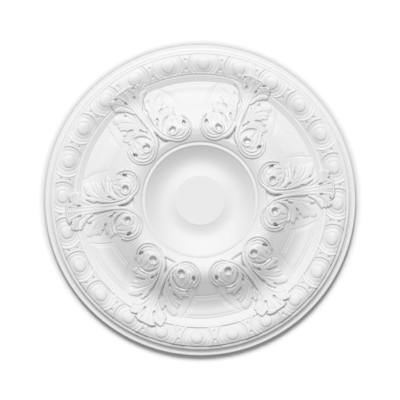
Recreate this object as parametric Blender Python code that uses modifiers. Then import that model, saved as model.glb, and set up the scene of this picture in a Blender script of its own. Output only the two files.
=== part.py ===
# Ceiling rose: one moulded disc with a dished centre, six acanthus palmettes and an egg-and-dart border. It
# hangs as in use: the back lies in the plane z = 0, the carved face looks down, and the origin is the middle of
# the back. Lengths are in metres. Angles run anticlockwise as seen from below, from +X.
import math

import bpy
import numpy as np

MM = 0.001

# Radii of the mouldings, from the rim inwards
OUTER_RADIUS = 310 * MM
EDGE_ROUND = 1.6 * MM
LIP_WIDTH = 5.2 * MM
RIM_COVE_WIDTH = 5.9 * MM
RIM_WALL_WIDTH = 0.4 * MM
RIM_STEP_WIDTH = 1.3 * MM
RIM_FILLET_WIDTH = 2.9 * MM
RIM_VALLEY_WIDTH = 3.7 * MM
EGG_RING_WIDTH = 37.0 * MM
EGG_RING_CROWN = 11.1 * MM
EGG_RING_SHOULDER = 31.8 * MM
RING_STEP_WIDTH = 0.8 * MM
SLOPED_BAND_WIDTH = 14.6 * MM
FIELD_FLAT_WIDTH = 16.2 * MM
FOOT_RADIUS = 190.8 * MM
CREST_RADIUS = 143.5 * MM
CREST_EDGE_RADIUS = 119.0 * MM
BEAD_RADIUS = 111.4 * MM
BEAD_OUTER_WIDTH = 3.6 * MM
BEAD_INNER_WIDTH = 3.0 * MM
PALMETTE_FOOT_GAP = 1.3 * MM
BOWL_FLOOR_RADIUS = 70.0 * MM
DISC_RADIUS = 49.3 * MM
DISC_EDGE = 1.5 * MM

# Depths of the same mouldings below the ceiling
EDGE_DEPTH = 9.4 * MM
LIP_DEPTH = 11.2 * MM
RIM_COVE_DEPTH = 14.0 * MM
RIM_WALL_DEPTH = 20.4 * MM
RIM_STEP_DEPTH = 22.0 * MM
RIM_FILLET_DEPTH = 22.8 * MM
RIM_VALLEY_DEPTH = 21.2 * MM
EGG_RING_OUTER_DEPTH = 30.2 * MM
EGG_RING_DEPTH = 34.6 * MM
EGG_RING_SHOULDER_DEPTH = 27.6 * MM
EGG_RING_INNER_DEPTH = 23.4 * MM
BAND_DEPTH = 22.0 * MM
FIELD_DEPTH = 13.4 * MM
FOOT_DEPTH = 27.4 * MM
CREST_DEPTH = 66.6 * MM
CREST_EDGE_DEPTH = 58.6 * MM
BEAD_GROOVE_DEPTH = 53.2 * MM
BEAD_DEPTH = 54.9 * MM
BOWL_FLOOR_DEPTH = 30.1 * MM
DISC_DEPTH = 35.6 * MM

# The back: a flat outer band and a flat middle pad meet the ceiling, with a shallow hollow between
BACK_BAND_WIDTH = 34.0 * MM
BACK_PAD_RADIUS = 70.0 * MM
BACK_HOLLOW_DEPTH = 3.0 * MM
BACK_HOLLOW_CHAMFER = 3.0 * MM

# Egg and dart: radii are measured from the middle of an egg, heights from the turned border
EGG_COUNT = 24
EGG_TURN = math.radians(-1.4)
EGG_OFFSET = 1.1 * MM
EGG_HALF_WIDTH = 13.2 * MM
EGG_HALF_LENGTH = 13.4 * MM
EGG_TOP = 1.6 * MM
EGG_RISE = 5.2 * MM
SHELL_START_RADIUS = 14.6 * MM
SHELL_START_DROP = 2.0 * MM
SHELL_END_RADIUS = 24.0 * MM
SHELL_END_DROP = 4.2 * MM
SHELL_LIP_RADIUS = 31.2 * MM
SHELL_LIP_HALF_WIDTH = 3.6 * MM
SHELL_LIP_DROP = 0.2 * MM
DART_DROP = 1.4 * MM
DART_HOLE_HALF_WIDTH = 2.6 * MM
DART_HOLE_HALF_LENGTH = 3.4 * MM
DART_HOLE_DEPTH = 5.0 * MM
DART_HOLE_SPACING = 18.8 * MM

# Panels of the field between the palmettes
PANEL_INNER_MARGIN = 3.6 * MM
PANEL_OUTER_MARGIN = 2.8 * MM
PANEL_OUTER_HALF_ANGLE = math.radians(14.6)
PANEL_INNER_HALF_ANGLE = math.radians(8.2)
PANEL_FRAME_WIDTH = 6.6 * MM
PANEL_FRAME_RISE = 1.1 * MM
PANEL_EDGE_WIDTH = 1.6 * MM

# Palmettes, drawn on a grid of their own: y from the foot of the scrolls to the finial, x away from the axis
PALMETTE_COUNT = 6
PALMETTE_TURN = math.radians(4.0)
PALMETTE_GRID_LENGTH = 50.6
PALMETTE_LIFT_FOOT = 2.2 * MM
PALMETTE_LIFT_SCROLLS = 6.0 * MM
PALMETTE_FALL_LEAVES = 4.8 * MM
PALMETTE_BRIDGE = 17.0 * MM
PALMETTE_SOFTEN = 0.35
PALMETTE_BLEND = 2.5 * MM
PALMETTE_EDGE_SLOPE = 3.0
PALMETTE_DROOP = 2.6 * MM
PALMETTE_REACH = 16.0
PALMETTE_SLIT_DEPTH = 7.0 * MM
LEAN_START = 0.5
LEAN_RISE = -0.0657
LEAN_HEIGHT = 7.5

# Volute of the palmette, on the same grid
VOLUTE_X = 13.5
VOLUTE_Y = 9.6
VOLUTE_RIM_RADIUS = 8.8
VOLUTE_BAND_RADIUS = 7.1
VOLUTE_BODY_RADIUS = 3.8
VOLUTE_EYE_X = 10.1
VOLUTE_EYE_Y = 9.8
VOLUTE_EYE_RADIUS = 3.1

# Fineness of the carving before it is thinned, and the triangles that are kept. A care under 1 keeps more of
# them on the plain round parts
TURN_STEPS = 960
PROFILE_STEP = 1.5 * MM
KEPT_TRIANGLES = 9900
ROUND_CARE = 0.998

# Radii that follow from the widths
LIP_RADIUS = OUTER_RADIUS - LIP_WIDTH
COVE_RADIUS = LIP_RADIUS - RIM_COVE_WIDTH
WALL_RADIUS = COVE_RADIUS - RIM_WALL_WIDTH
STEP_RADIUS = WALL_RADIUS - RIM_STEP_WIDTH
FILLET_RADIUS = STEP_RADIUS - RIM_FILLET_WIDTH
RING_OUTER_RADIUS = FILLET_RADIUS - RIM_VALLEY_WIDTH
RING_INNER_RADIUS = RING_OUTER_RADIUS - EGG_RING_WIDTH
BAND_RADIUS = RING_INNER_RADIUS - RING_STEP_WIDTH
FIELD_RADIUS = BAND_RADIUS - SLOPED_BAND_WIDTH
EGG_RADIUS = (RING_OUTER_RADIUS + RING_INNER_RADIUS) / 2 + EGG_OFFSET
EGG_PITCH = 2 * math.pi / EGG_COUNT
PALMETTE_PITCH = 2 * math.pi / PALMETTE_COUNT
PALMETTE_FOOT_RADIUS = BEAD_RADIUS + BEAD_OUTER_WIDTH + PALMETTE_FOOT_GAP
GRID_PART = (EGG_RADIUS - PALMETTE_FOOT_RADIUS) / PALMETTE_GRID_LENGTH


def straight(t):
    return t, t


def swell(t):
    # Convex quarter round that leaves steeply and arrives level
    return 1 - np.cos(t * math.pi / 2), np.sin(t * math.pi / 2)


def hollow(t):
    # Concave quarter round that leaves level and arrives steeply
    return np.sin(t * math.pi / 2), 1 - np.cos(t * math.pi / 2)


def crown(t):
    # Leaves on a slope and arrives level
    return t, np.sin(t * math.pi / 2)


def scoop(t):
    # Leaves level and arrives on a slope
    return t, 1 - np.cos(t * math.pi / 2)


def wave(t):
    # Cyma: level at both ends, steep between
    return t, (1 - np.cos(t * math.pi)) / 2


# Each moulding of the face from the rim inwards: where it ends, how deep it is there, and its shape
FACE_MOULDINGS = [
    (OUTER_RADIUS - EDGE_ROUND, LIP_DEPTH, swell),
    (LIP_RADIUS, LIP_DEPTH, straight),
    (COVE_RADIUS, RIM_COVE_DEPTH, scoop),
    (WALL_RADIUS, RIM_WALL_DEPTH, straight),
    (STEP_RADIUS, RIM_STEP_DEPTH, swell),
    (FILLET_RADIUS, RIM_FILLET_DEPTH, crown),
    (RING_OUTER_RADIUS + RIM_VALLEY_WIDTH / 2, RIM_VALLEY_DEPTH, straight),
    (RING_OUTER_RADIUS + RING_STEP_WIDTH / 2, RIM_VALLEY_DEPTH, straight),
    (RING_OUTER_RADIUS, EGG_RING_OUTER_DEPTH, straight),
    (RING_OUTER_RADIUS - EGG_RING_CROWN, EGG_RING_DEPTH, crown),
    (RING_OUTER_RADIUS - EGG_RING_SHOULDER, EGG_RING_SHOULDER_DEPTH, scoop),
    (RING_INNER_RADIUS, EGG_RING_INNER_DEPTH, straight),
    (BAND_RADIUS, BAND_DEPTH, straight),
    (FIELD_RADIUS, FIELD_DEPTH, straight),
    (FIELD_RADIUS - FIELD_FLAT_WIDTH, FIELD_DEPTH, straight),
    (FOOT_RADIUS, FOOT_DEPTH, scoop),
    (CREST_RADIUS, CREST_DEPTH, crown),
    (CREST_EDGE_RADIUS, CREST_EDGE_DEPTH, scoop),
    (BEAD_RADIUS + BEAD_OUTER_WIDTH, BEAD_GROOVE_DEPTH, wave),
    (BEAD_RADIUS, BEAD_DEPTH, swell),
    (BEAD_RADIUS - BEAD_INNER_WIDTH, BEAD_GROOVE_DEPTH, hollow),
    (BOWL_FLOOR_RADIUS, BOWL_FLOOR_DEPTH, crown),
    (DISC_RADIUS + DISC_EDGE, DISC_DEPTH - DISC_EDGE, scoop),
    (DISC_RADIUS, DISC_DEPTH, straight),
    (0.0, DISC_DEPTH, straight),
]


def face_profile():
    # Radius and depth of the plain turned face, from the rim to the middle
    radius, depth = OUTER_RADIUS, EDGE_DEPTH
    points = [(radius, depth)]
    for end_radius, end_depth, shape in FACE_MOULDINGS:
        count = max(1, math.ceil(abs(radius - end_radius) / PROFILE_STEP))
        along, down = shape(np.linspace(0, 1, count + 1)[1:])
        for a, d in zip(np.broadcast_to(along, count), np.broadcast_to(down, count)):
            points.append((radius + (end_radius - radius) * a, depth + (end_depth - depth) * d))
        radius, depth = end_radius, end_depth
    return np.array(points)


FACE = face_profile()


def ground_depth(radius):
    return np.interp(radius, FACE[::-1, 0], FACE[::-1, 1])


def bridged_depth(radius):
    # Ground under a palmette, with steps and hollows evened out as the leaves bridge them
    offsets = np.linspace(-PALMETTE_BRIDGE, PALMETTE_BRIDGE, 15)
    evened = sum(ground_depth(radius + offset) for offset in offsets) / len(offsets)
    softened = sum(ground_depth(radius + offset * PALMETTE_SOFTEN) for offset in offsets) / len(offsets)
    return (evened + softened + np.sqrt((evened - softened) ** 2 + PALMETTE_BLEND ** 2)) / 2


def smooth_step(value, low, high):
    t = np.clip((value - low) / (high - low), 0, 1)
    return t * t * (3 - 2 * t)


def folded_angle(angle, turn, pitch):
    # Angle from the middle of the repeat that a point lies in
    return (angle - turn + pitch / 2) % pitch - pitch / 2


def egg_and_dart(radius, angle):
    # Depth added to the border by eggs in their shells, and by webs with two drilled holes between the shells
    from_egg = folded_angle(angle, EGG_TURN, EGG_PITCH) * EGG_RADIUS
    outward = radius - EGG_RADIUS
    reach = np.hypot(from_egg / EGG_HALF_WIDTH, outward / EGG_HALF_LENGTH)
    away = np.hypot(from_egg, outward)
    egg = EGG_TOP + EGG_RISE * (np.sqrt(np.clip(1 - reach ** 3, 0, 1)) - 1)
    slope = np.clip((away - SHELL_START_RADIUS) / (SHELL_END_RADIUS - SHELL_START_RADIUS), 0, 1)
    shell = -SHELL_START_DROP - (SHELL_END_DROP - SHELL_START_DROP) * slope
    foot = 1 - smooth_step(away, SHELL_START_RADIUS - 1.4 * MM, SHELL_START_RADIUS)
    shell = shell - SHELL_START_DROP * foot
    lip = -SHELL_LIP_DROP - 1.6 * MM * ((away - SHELL_LIP_RADIUS) / SHELL_LIP_HALF_WIDTH) ** 2
    carved = np.maximum(egg, np.maximum(shell, lip))

    lip_end = SHELL_LIP_RADIUS + SHELL_LIP_HALF_WIDTH
    carved = carved + (-DART_DROP - carved) * smooth_step(away, lip_end - SHELL_LIP_HALF_WIDTH / 2, lip_end)
    from_dart = folded_angle(angle, EGG_TURN + EGG_PITCH / 2, EGG_PITCH) * radius
    for side in (-1, 1):
        from_hole = outward + EGG_OFFSET - side * DART_HOLE_SPACING / 2
        reach = np.hypot(from_dart / DART_HOLE_HALF_WIDTH, from_hole / DART_HOLE_HALF_LENGTH)
        carved = carved - DART_HOLE_DEPTH * smooth_step(-reach, -1.2, 0)

    margin = np.minimum(RING_OUTER_RADIUS - radius, radius - RING_INNER_RADIUS)
    return carved * smooth_step(margin, 0, RING_STEP_WIDTH)


def field_panel(radius, angle):
    # Raised frame of the panel that lies between two palmettes
    inner = FOOT_RADIUS + PANEL_INNER_MARGIN
    outer = FIELD_RADIUS - PANEL_OUTER_MARGIN
    across = (radius - inner) / (outer - inner)
    turned = np.abs(folded_angle(angle, PALMETTE_TURN + PALMETTE_PITCH / 2, PALMETTE_PITCH))
    half_angle = PANEL_INNER_HALF_ANGLE + (PANEL_OUTER_HALF_ANGLE - PANEL_INNER_HALF_ANGLE) * across
    inside = np.minimum(np.minimum(radius - inner, outer - radius), (half_angle - turned) * radius)
    rise = smooth_step(inside, 0, PANEL_EDGE_WIDTH)
    fall = smooth_step(inside, PANEL_FRAME_WIDTH - PANEL_EDGE_WIDTH, PANEL_FRAME_WIDTH)
    return PANEL_FRAME_RISE * (rise - fall)


def arc(x, y, radius, start, end, count):
    # Points of an arc on the palmette's grid, with its angles in degrees
    turns = np.radians(np.linspace(start, end, count))
    return [(x + radius * math.cos(t), y + radius * math.sin(t)) for t in turns]


# Every fold of the half palmette: its spine on the grid, its half widths from root to tip, the depth of its
# crest against the palmette's body at root and tip, and how far its edges fall away, in millimetres
RIM_SCROLL = [(1.2, 24), (1.35, 19), (1.6, 14), (2.4, 9.8), (4.6, 6.3)]
RIM_SCROLL += arc(VOLUTE_X, VOLUTE_Y, VOLUTE_RIM_RADIUS, 212, 392, 13)
INNER_SCROLL = [(3.1, 19), (3.8, 14), (4.4, 11), (5.9, 8.0)]
INNER_SCROLL += arc(VOLUTE_X, VOLUTE_Y, VOLUTE_BAND_RADIUS, 200, 384, 12)
SCROLL_BODY = arc(VOLUTE_X - 0.6, VOLUTE_Y + 0.5, VOLUTE_BODY_RADIUS, 150, 395, 9)
EYE_RING = arc(VOLUTE_EYE_X, VOLUTE_EYE_Y, VOLUTE_EYE_RADIUS, 60, -240, 10)
FOLDS = {
    "cavity": ([(6.6, 12), (8.0, 16.2), (12.4, 18.4), (17, 18)], [0.9, 1.4, 1.4, 0.8], -5.0, -4.0, 0.5),
    "scroll plate": ([(12.6, 10.2), (13.6, 10.2)], [7.6, 7.6], -3.4, -3.4, 0.3),
    "rim scroll": (RIM_SCROLL, [0.8, 0.85, 1.1, 1.3, 0.9, 0.75, 0.7, 0.7, 0.6, 0.5], 1.4, 2.4, 1.8),
    "inner scroll": (INNER_SCROLL, [0.45, 0.7, 0.85, 0.8, 0.75, 0.75, 0.7, 0.4], 0.8, 1.6, 1.6),
    "scroll body": (SCROLL_BODY, [1.3, 2.5, 2.8, 2.8, 2.5, 1.8], 1.2, 1.2, 1.6),
    "eye ring": (EYE_RING, [0.7, 1.0, 1.1, 1.0, 0.7], 2.6, 2.4, 2.0),
    "stem": ([(0, 15), (0, 27), (0, 36), (0, 44)], [1.9, 2.3, 2.8, 3.4], 0.2, 0.5, 1.3),
    "side rib": ([(1.5, 22), (1.8, 30), (2.3, 38), (3.0, 43), (4.4, 47)], [0.7, 0.8, 1.0, 1.2], 0.8, 1.6, 1.3),
    "low plate": ([(5.2, 16), (8.0, 20), (12.5, 21.4), (17.5, 20.9)], [0.8, 2.0, 2.1, 1.5], -1.0, -1.2, 0.9),
    "low leaf": (
        [(4.5, 13.5), (5.7, 17.3), (8.0, 20.1), (11.6, 21.9), (15.6, 22.2), (19.3, 21.5)],
        [0.7, 1.0, 1.5, 1.6, 1.4, 0.9], 0.5, -0.8, 1.2),
    "mid plate": ([(3.6, 19), (6.2, 25), (10.0, 29.8), (14.6, 32.6)], [0.8, 2.5, 3.8, 3.2], -0.8, -0.8, 0.9),
    "mid bud": ([(3.5, 20.5), (4.7, 26.2), (5.8, 31), (7.2, 35)], [0.7, 1.1, 1.4, 1.0], 0.3, 1.2, 1.8),
    "mid lobe": ([(4.3, 22.5), (7.2, 28.2), (11, 32.7), (15.3, 34.6)], [0.5, 1.4, 2.6, 2.3], 0.8, 1.5, 2.0),
    "mid low lobe": ([(5.2, 20.8), (8.3, 25.4), (12.2, 28.5), (16, 29.4)], [0.5, 1.2, 1.9, 1.3], 0.6, 0.2, 1.7),
    "top plate": ([(2.8, 33), (5.0, 39), (8.8, 42.6)], [1.2, 3.0, 3.2], -1.0, -0.4, 0.8),
    "top low lobe": ([(3.0, 32.5), (5.5, 37.0), (8.4, 39.4), (11.0, 40.4)], [0.5, 1.1, 1.6, 1.2], 0.7, 1.5, 1.8),
    "top lobe": ([(3.1, 37), (5.4, 41.8), (8.0, 44.4), (10.5, 44.8)], [0.5, 1.4, 1.8, 1.3], 0.8, 2.4, 2.0),
    "finial": ([(0, 45.6), (3.2, 45.8), (5.0, 46.2)], [2.5, 2.2, 1.4], -0.4, 0.2, 1.0),
    "finial cap": ([(0, 48.2), (3.0, 48.2), (5.0, 47.9), (6.6, 47.0)], [0.9, 0.9, 0.9, 0.8], 2.0, 2.6, 2.0),
}

# Drilled eyes and slits: middle on the grid, half sizes along and across, turn of the long side, and the depth
PITS = [
    (0.0, 12.0, 3.6, 0.7, 90, 8.0),
    (10.1, 9.6, 2.2, 2.0, 20, 6.0),
    (18.7, 9.6, 1.8, 1.1, 62, 7.0),
    (6.2, 20.4, 1.5, 0.95, 68, 6.0),
    (11.7, 24.5, 1.8, 0.8, 15, 5.0),
    (4.1, 28.8, 1.6, 0.75, 88, 5.0),
    (9.0, 34.6, 1.5, 0.65, 80, 4.5),
    (3.3, 40.7, 1.3, 0.9, 80, 6.0),
    (6.9, 46.0, 0.8, 0.7, 40, 3.0),
]


def smooth_line(points, steps):
    # Curve through the points, as even runs between them with rounded turns
    points = np.array(points, float)
    padded = np.vstack([2 * points[0] - points[1], points, 2 * points[-1] - points[-2]])
    line = []
    for before, start, end, after in zip(padded, padded[1:], padded[2:], padded[3:]):
        for t in np.linspace(0, 1, steps, endpoint=False):
            bend = 2 * before - 5 * start + 4 * end - after
            twist = 3 * start - before - 3 * end + after
            line.append(start + ((end - before) * t + bend * t * t + twist * t ** 3) / 2)
    line.append(points[-1])
    return np.array(line)


def nearest_on_line(x, y, line):
    # Distance of each point to the line, and how far along it the nearest place lies, from 0 to 1
    best = np.full(x.shape, np.inf)
    along = np.zeros(x.shape)
    lengths = np.hypot(*np.diff(line, axis=0).T)
    travelled = np.concatenate([[0], np.cumsum(lengths)])
    for (x0, y0), (x1, y1), length, before in zip(line, line[1:], lengths, travelled):
        dx, dy = x1 - x0, y1 - y0
        t = np.clip(((x - x0) * dx + (y - y0) * dy) / (length * length), 0, 1)
        away = np.hypot(x - x0 - t * dx, y - y0 - t * dy)
        closer = away < best
        best = np.where(closer, away, best)
        along = np.where(closer, (before + t * length) / travelled[-1], along)
    return best, along


def palmette_depth(radius, angle, ground):
    # Depth below the ceiling of the ground with the palmettes on it and their slits and holes in it
    turned = folded_angle(angle, PALMETTE_TURN, PALMETTE_PITCH)
    y = (radius * np.cos(turned) - PALMETTE_FOOT_RADIUS) / GRID_PART
    x = np.abs(-radius * np.sin(turned) / GRID_PART - LEAN_START - LEAN_RISE * (y - LEAN_HEIGHT))
    lift = PALMETTE_LIFT_FOOT + PALMETTE_LIFT_SCROLLS * smooth_step(y, 8, 19)
    lift = lift - PALMETTE_FALL_LEAVES * smooth_step(y, 19, 34)
    droop = PALMETTE_DROOP * (x / PALMETTE_REACH) ** 2 * smooth_step(y, 12, 20)
    body = bridged_depth(radius) + lift - droop
    slit = smooth_step(y, 4.7, 6.0) * (1 - smooth_step(y, 15, 18)) * (1 - smooth_step(x, 3.5, 5.5))
    base = ground - PALMETTE_SLIT_DEPTH * slit
    surface = np.full(x.shape, -1.0)
    cover = np.full(x.shape, np.inf)
    for spine, widths, root, tip, fall in FOLDS.values():
        away, along = nearest_on_line(x, y, smooth_line(spine, 4))
        width = np.interp(along, np.linspace(0, 1, len(widths)), widths)
        crest = body + (root + (tip - root) * along) * MM
        side = fall * MM * np.minimum(away / width, 1) ** 2
        edge = PALMETTE_EDGE_SLOPE * np.maximum(away - width, 0) * GRID_PART
        surface = np.maximum(surface, crest - side - edge)
        cover = np.minimum(cover, away - width)
    surface = np.where(cover < 0, surface, np.maximum(surface, base))
    for middle_x, middle_y, half_long, half_across, turn, depth in PITS:
        cos_turn, sin_turn = math.cos(math.radians(turn)), math.sin(math.radians(turn))
        along = (x - middle_x) * cos_turn + (y - middle_y) * sin_turn
        across = (y - middle_y) * cos_turn - (x - middle_x) * sin_turn
        reach = np.hypot(along / half_long, across / half_across)
        surface = surface - depth * MM * smooth_step(-reach, -1.2, 0)
    return surface


def carved_depth(radius, angle):
    ground = ground_depth(radius)
    border = (radius > RING_INNER_RADIUS) & (radius < RING_OUTER_RADIUS)
    field = (radius > FOOT_RADIUS) & (radius < FIELD_RADIUS)
    ground = ground + np.where(border, egg_and_dart(radius, angle), 0)
    ground = ground + np.where(field, field_panel(radius, angle), 0)
    return palmette_depth(radius, angle, ground)


def turned_blank():
    # The outline from the middle of the back round the rim to the middle of the face, turned about the axis
    hollow_outer = OUTER_RADIUS - BACK_BAND_WIDTH
    outline = [
        (0.0, 0.0),
        (BACK_PAD_RADIUS, 0.0),
        (BACK_PAD_RADIUS + BACK_HOLLOW_CHAMFER, -BACK_HOLLOW_DEPTH),
        (hollow_outer - BACK_HOLLOW_CHAMFER, -BACK_HOLLOW_DEPTH),
        (hollow_outer, 0.0),
        (OUTER_RADIUS, 0.0),
    ]
    outline += [(radius, -depth) for radius, depth in FACE]
    mesh = bpy.data.meshes.new("blank outline")
    edges = [(i, i + 1) for i in range(len(outline) - 1)]
    mesh.from_pydata([(radius, 0, height) for radius, height in outline], edges, [])
    blank = bpy.data.objects.new("blank", mesh)
    bpy.context.scene.collection.objects.link(blank)
    screw = blank.modifiers.new("turn", "SCREW")
    screw.steps = TURN_STEPS
    screw.render_steps = TURN_STEPS
    screw.use_merge_vertices = True
    screw.merge_threshold = 0.00005
    screw.use_smooth_shade = False
    bpy.context.view_layer.update()
    turned = bpy.data.meshes.new_from_object(blank.evaluated_get(bpy.context.evaluated_depsgraph_get()))
    bpy.data.objects.remove(blank)
    bpy.data.meshes.remove(mesh)
    return turned


def carve(mesh):
    # Lower each point of the face to the carving's depth; the back and the edge stay as turned
    places = np.empty(len(mesh.vertices) * 3)
    mesh.vertices.foreach_get("co", places)
    places = places.reshape(-1, 3)
    radius = np.hypot(places[:, 0], places[:, 1])
    face = (places[:, 2] < -LIP_DEPTH) & (radius > PALMETTE_FOOT_RADIUS) & (radius < RING_OUTER_RADIUS)
    angle = np.arctan2(-places[face, 1], places[face, 0])
    places[face, 2] = -carved_depth(radius[face], angle)
    mesh.vertices.foreach_set("co", places.ravel())
    mesh.update()


def thin(rose):
    # Keep the points that the shape needs, and a few more on the plain round parts
    mesh = rose.data
    carved, plain = [], []
    for vertex in mesh.vertices:
        radius = math.hypot(vertex.co.x, vertex.co.y)
        on_carving = CREST_EDGE_RADIUS < radius < RING_OUTER_RADIUS and vertex.co.z < -BACK_HOLLOW_DEPTH * 2
        (carved if on_carving else plain).append(vertex.index)
    care = rose.vertex_groups.new(name="care")
    care.add(carved, 1.0, "REPLACE")
    care.add(plain, ROUND_CARE, "REPLACE")
    mesh.calc_loop_triangles()
    thinned = rose.modifiers.new("thin", "DECIMATE")
    thinned.ratio = KEPT_TRIANGLES / len(mesh.loop_triangles)
    thinned.use_collapse_triangulate = True
    thinned.vertex_group = care.name
    bpy.context.view_layer.update()
    light = bpy.data.meshes.new_from_object(rose.evaluated_get(bpy.context.evaluated_depsgraph_get()))
    rose.modifiers.remove(thinned)
    rose.vertex_groups.remove(care)
    rose.data = light
    bpy.data.meshes.remove(mesh)
    light.name = rose.name
    return light


def true_up(mesh):
    # Thinning moves points a little: set the rim back on its circle and the seat back in its plane
    for vertex in mesh.vertices:
        if abs(vertex.co.z) < BACK_HOLLOW_DEPTH / 4:
            vertex.co.z = 0
        radius = math.hypot(vertex.co.x, vertex.co.y)
        if radius > OUTER_RADIUS - LIP_WIDTH / 5:
            vertex.co.x *= OUTER_RADIUS / radius
            vertex.co.y *= OUTER_RADIUS / radius
    mesh.update()


def plaster_material():
    material = bpy.data.materials.new("white casting")
    material.use_nodes = True
    shader = material.node_tree.nodes["Principled BSDF"]
    shader.inputs["Base Color"].default_value = (0.86, 0.86, 0.85, 1)
    shader.inputs["Roughness"].default_value = 0.62
    shader.inputs["Metallic"].default_value = 0.0
    return material


def main():
    for thing in list(bpy.data.objects):
        bpy.data.objects.remove(thing)
    collection = bpy.data.collections.new("ceiling rose")
    bpy.context.scene.collection.children.link(collection)
    mesh = turned_blank()
    carve(mesh)
    rose = bpy.data.objects.new("ceiling_rose", mesh)
    collection.objects.link(rose)
    light = thin(rose)
    true_up(light)
    light.materials.append(plaster_material())


main()
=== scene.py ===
import math

import bmesh
import bpy
import numpy as np
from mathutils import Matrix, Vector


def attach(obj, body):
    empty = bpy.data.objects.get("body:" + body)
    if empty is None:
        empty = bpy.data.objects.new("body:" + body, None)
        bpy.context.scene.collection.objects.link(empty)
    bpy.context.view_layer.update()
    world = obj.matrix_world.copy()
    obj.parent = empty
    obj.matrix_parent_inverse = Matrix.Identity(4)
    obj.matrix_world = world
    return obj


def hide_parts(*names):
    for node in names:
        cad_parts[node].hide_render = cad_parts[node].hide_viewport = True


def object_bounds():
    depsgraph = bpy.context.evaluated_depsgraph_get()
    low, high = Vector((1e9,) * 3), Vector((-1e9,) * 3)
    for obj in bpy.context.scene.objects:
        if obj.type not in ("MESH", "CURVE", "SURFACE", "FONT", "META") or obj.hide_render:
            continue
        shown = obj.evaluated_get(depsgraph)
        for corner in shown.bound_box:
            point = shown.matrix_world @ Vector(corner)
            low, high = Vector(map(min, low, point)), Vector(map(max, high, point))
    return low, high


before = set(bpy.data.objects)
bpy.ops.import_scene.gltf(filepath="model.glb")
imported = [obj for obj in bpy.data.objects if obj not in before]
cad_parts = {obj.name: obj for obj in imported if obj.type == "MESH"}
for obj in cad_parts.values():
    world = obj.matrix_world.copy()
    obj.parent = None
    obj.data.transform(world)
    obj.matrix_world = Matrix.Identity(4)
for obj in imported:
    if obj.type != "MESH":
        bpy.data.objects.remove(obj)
cadLow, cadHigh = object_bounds()

# The rose is drawn as seen from below, in millimetres, for a radius of 310. Drawn x runs right, drawn y up
# and angles anticlockwise, and height is measured down from the ceiling.
drawnRadius = 310.0
unit = (cadHigh.x - cadLow.x) / 2 / drawnRadius
weldReach = 0.00002  # metres


def placed(x, y, height):
    # Drawn points hung under the ceiling, in metres
    return np.stack([x * unit, -y * unit, -height * unit], axis=-1)


def smoothStep(value, low, high):
    t = np.clip((value - low) / (high - low), 0, 1)
    return t * t * (3 - 2 * t)


def groove(value, halfWidth):
    # 1 on a line, falling smoothly to 0 at half its width
    return smoothStep(-np.abs(value), -halfWidth, 0)


# Nodes and shader maths

def socketOf(thing):
    return thing.link if isinstance(thing, Maths) else thing


def addNode(tree, kind, settings=None, inputs=None):
    node = tree.nodes.new(kind)
    for name, value in (settings or {}).items():
        setattr(node, name, value)
    for name, value in (inputs or {}).items():
        value = socketOf(value)
        if isinstance(value, bpy.types.NodeSocket):
            tree.links.new(value, node.inputs[name])
        else:
            node.inputs[name].default_value = value
    return node


class Maths:
    # A number socket of a node tree that can be added, multiplied and so on
    def __init__(self, tree, link):
        self.tree = tree
        self.link = link

    def mix(self, operation, a, b):
        node = addNode(self.tree, "ShaderNodeMath", {"operation": operation}, {0: a, 1: b})
        return Maths(self.tree, node.outputs[0])

    def __add__(self, other):
        return self.mix("ADD", self, other)

    def __radd__(self, other):
        return self.mix("ADD", other, self)

    def __sub__(self, other):
        return self.mix("SUBTRACT", self, other)

    def __rsub__(self, other):
        return self.mix("SUBTRACT", other, self)

    def __mul__(self, other):
        return self.mix("MULTIPLY", self, other)

    def __rmul__(self, other):
        return self.mix("MULTIPLY", other, self)

    def power(self, other):
        return self.mix("POWER", self, other)


# White casting: a matt primer over moulded foam, with a very fine grain and soft unevenness
primer = {
    "shade": (0.72, 0.72, 0.72, 1),
    "dullShade": (0.69, 0.69, 0.685, 1),
    "cloudScale": 7.0,
    "cloudDetail": 3.0,
    "cloudShare": 0.6,
    "grainShare": 0.2,
    "roughness": 0.62,
    "grainRoughness": 0.08,
    "shine": 0.3,
    "grainScale": 900.0,
    "grainDepth": 0.00004,
    "wavinessScale": 38.0,
    "wavinessDepth": 0.00035,
    "fineDetail": 2.0,
}


def castingMaterial():
    material = bpy.data.materials.new("whiteCasting")
    material.use_nodes = True
    tree = material.node_tree
    shader = tree.nodes["Principled BSDF"]
    place = addNode(tree, "ShaderNodeTexCoord").outputs["Object"]

    def noise(scale, detail):
        inputs = {"Vector": place, "Scale": scale, "Detail": detail}
        return Maths(tree, addNode(tree, "ShaderNodeTexNoise", None, inputs).outputs["Fac"])

    cloud = noise(primer["cloudScale"], primer["cloudDetail"])
    grain = noise(primer["grainScale"], primer["fineDetail"])
    waviness = noise(primer["wavinessScale"], primer["fineDetail"])
    dullness = cloud * primer["cloudShare"] + grain * primer["grainShare"]
    shades = {0: dullness, 6: primer["shade"], 7: primer["dullShade"]}
    colour = addNode(tree, "ShaderNodeMix", {"data_type": "RGBA"}, shades)
    roughness = primer["roughness"] + grain * primer["grainRoughness"]
    height = grain * primer["grainDepth"] + waviness * primer["wavinessDepth"]
    bump = addNode(tree, "ShaderNodeBump", None, {"Strength": 1.0, "Distance": 1.0, "Height": height})
    tree.links.new(colour.outputs[2], shader.inputs["Base Color"])
    tree.links.new(roughness.link, shader.inputs["Roughness"])
    tree.links.new(bump.outputs["Normal"], shader.inputs["Normal"])
    shader.inputs["Specular IOR Level"].default_value = primer["shine"]
    return material


whiteCasting = castingMaterial()
print("material made")


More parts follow.
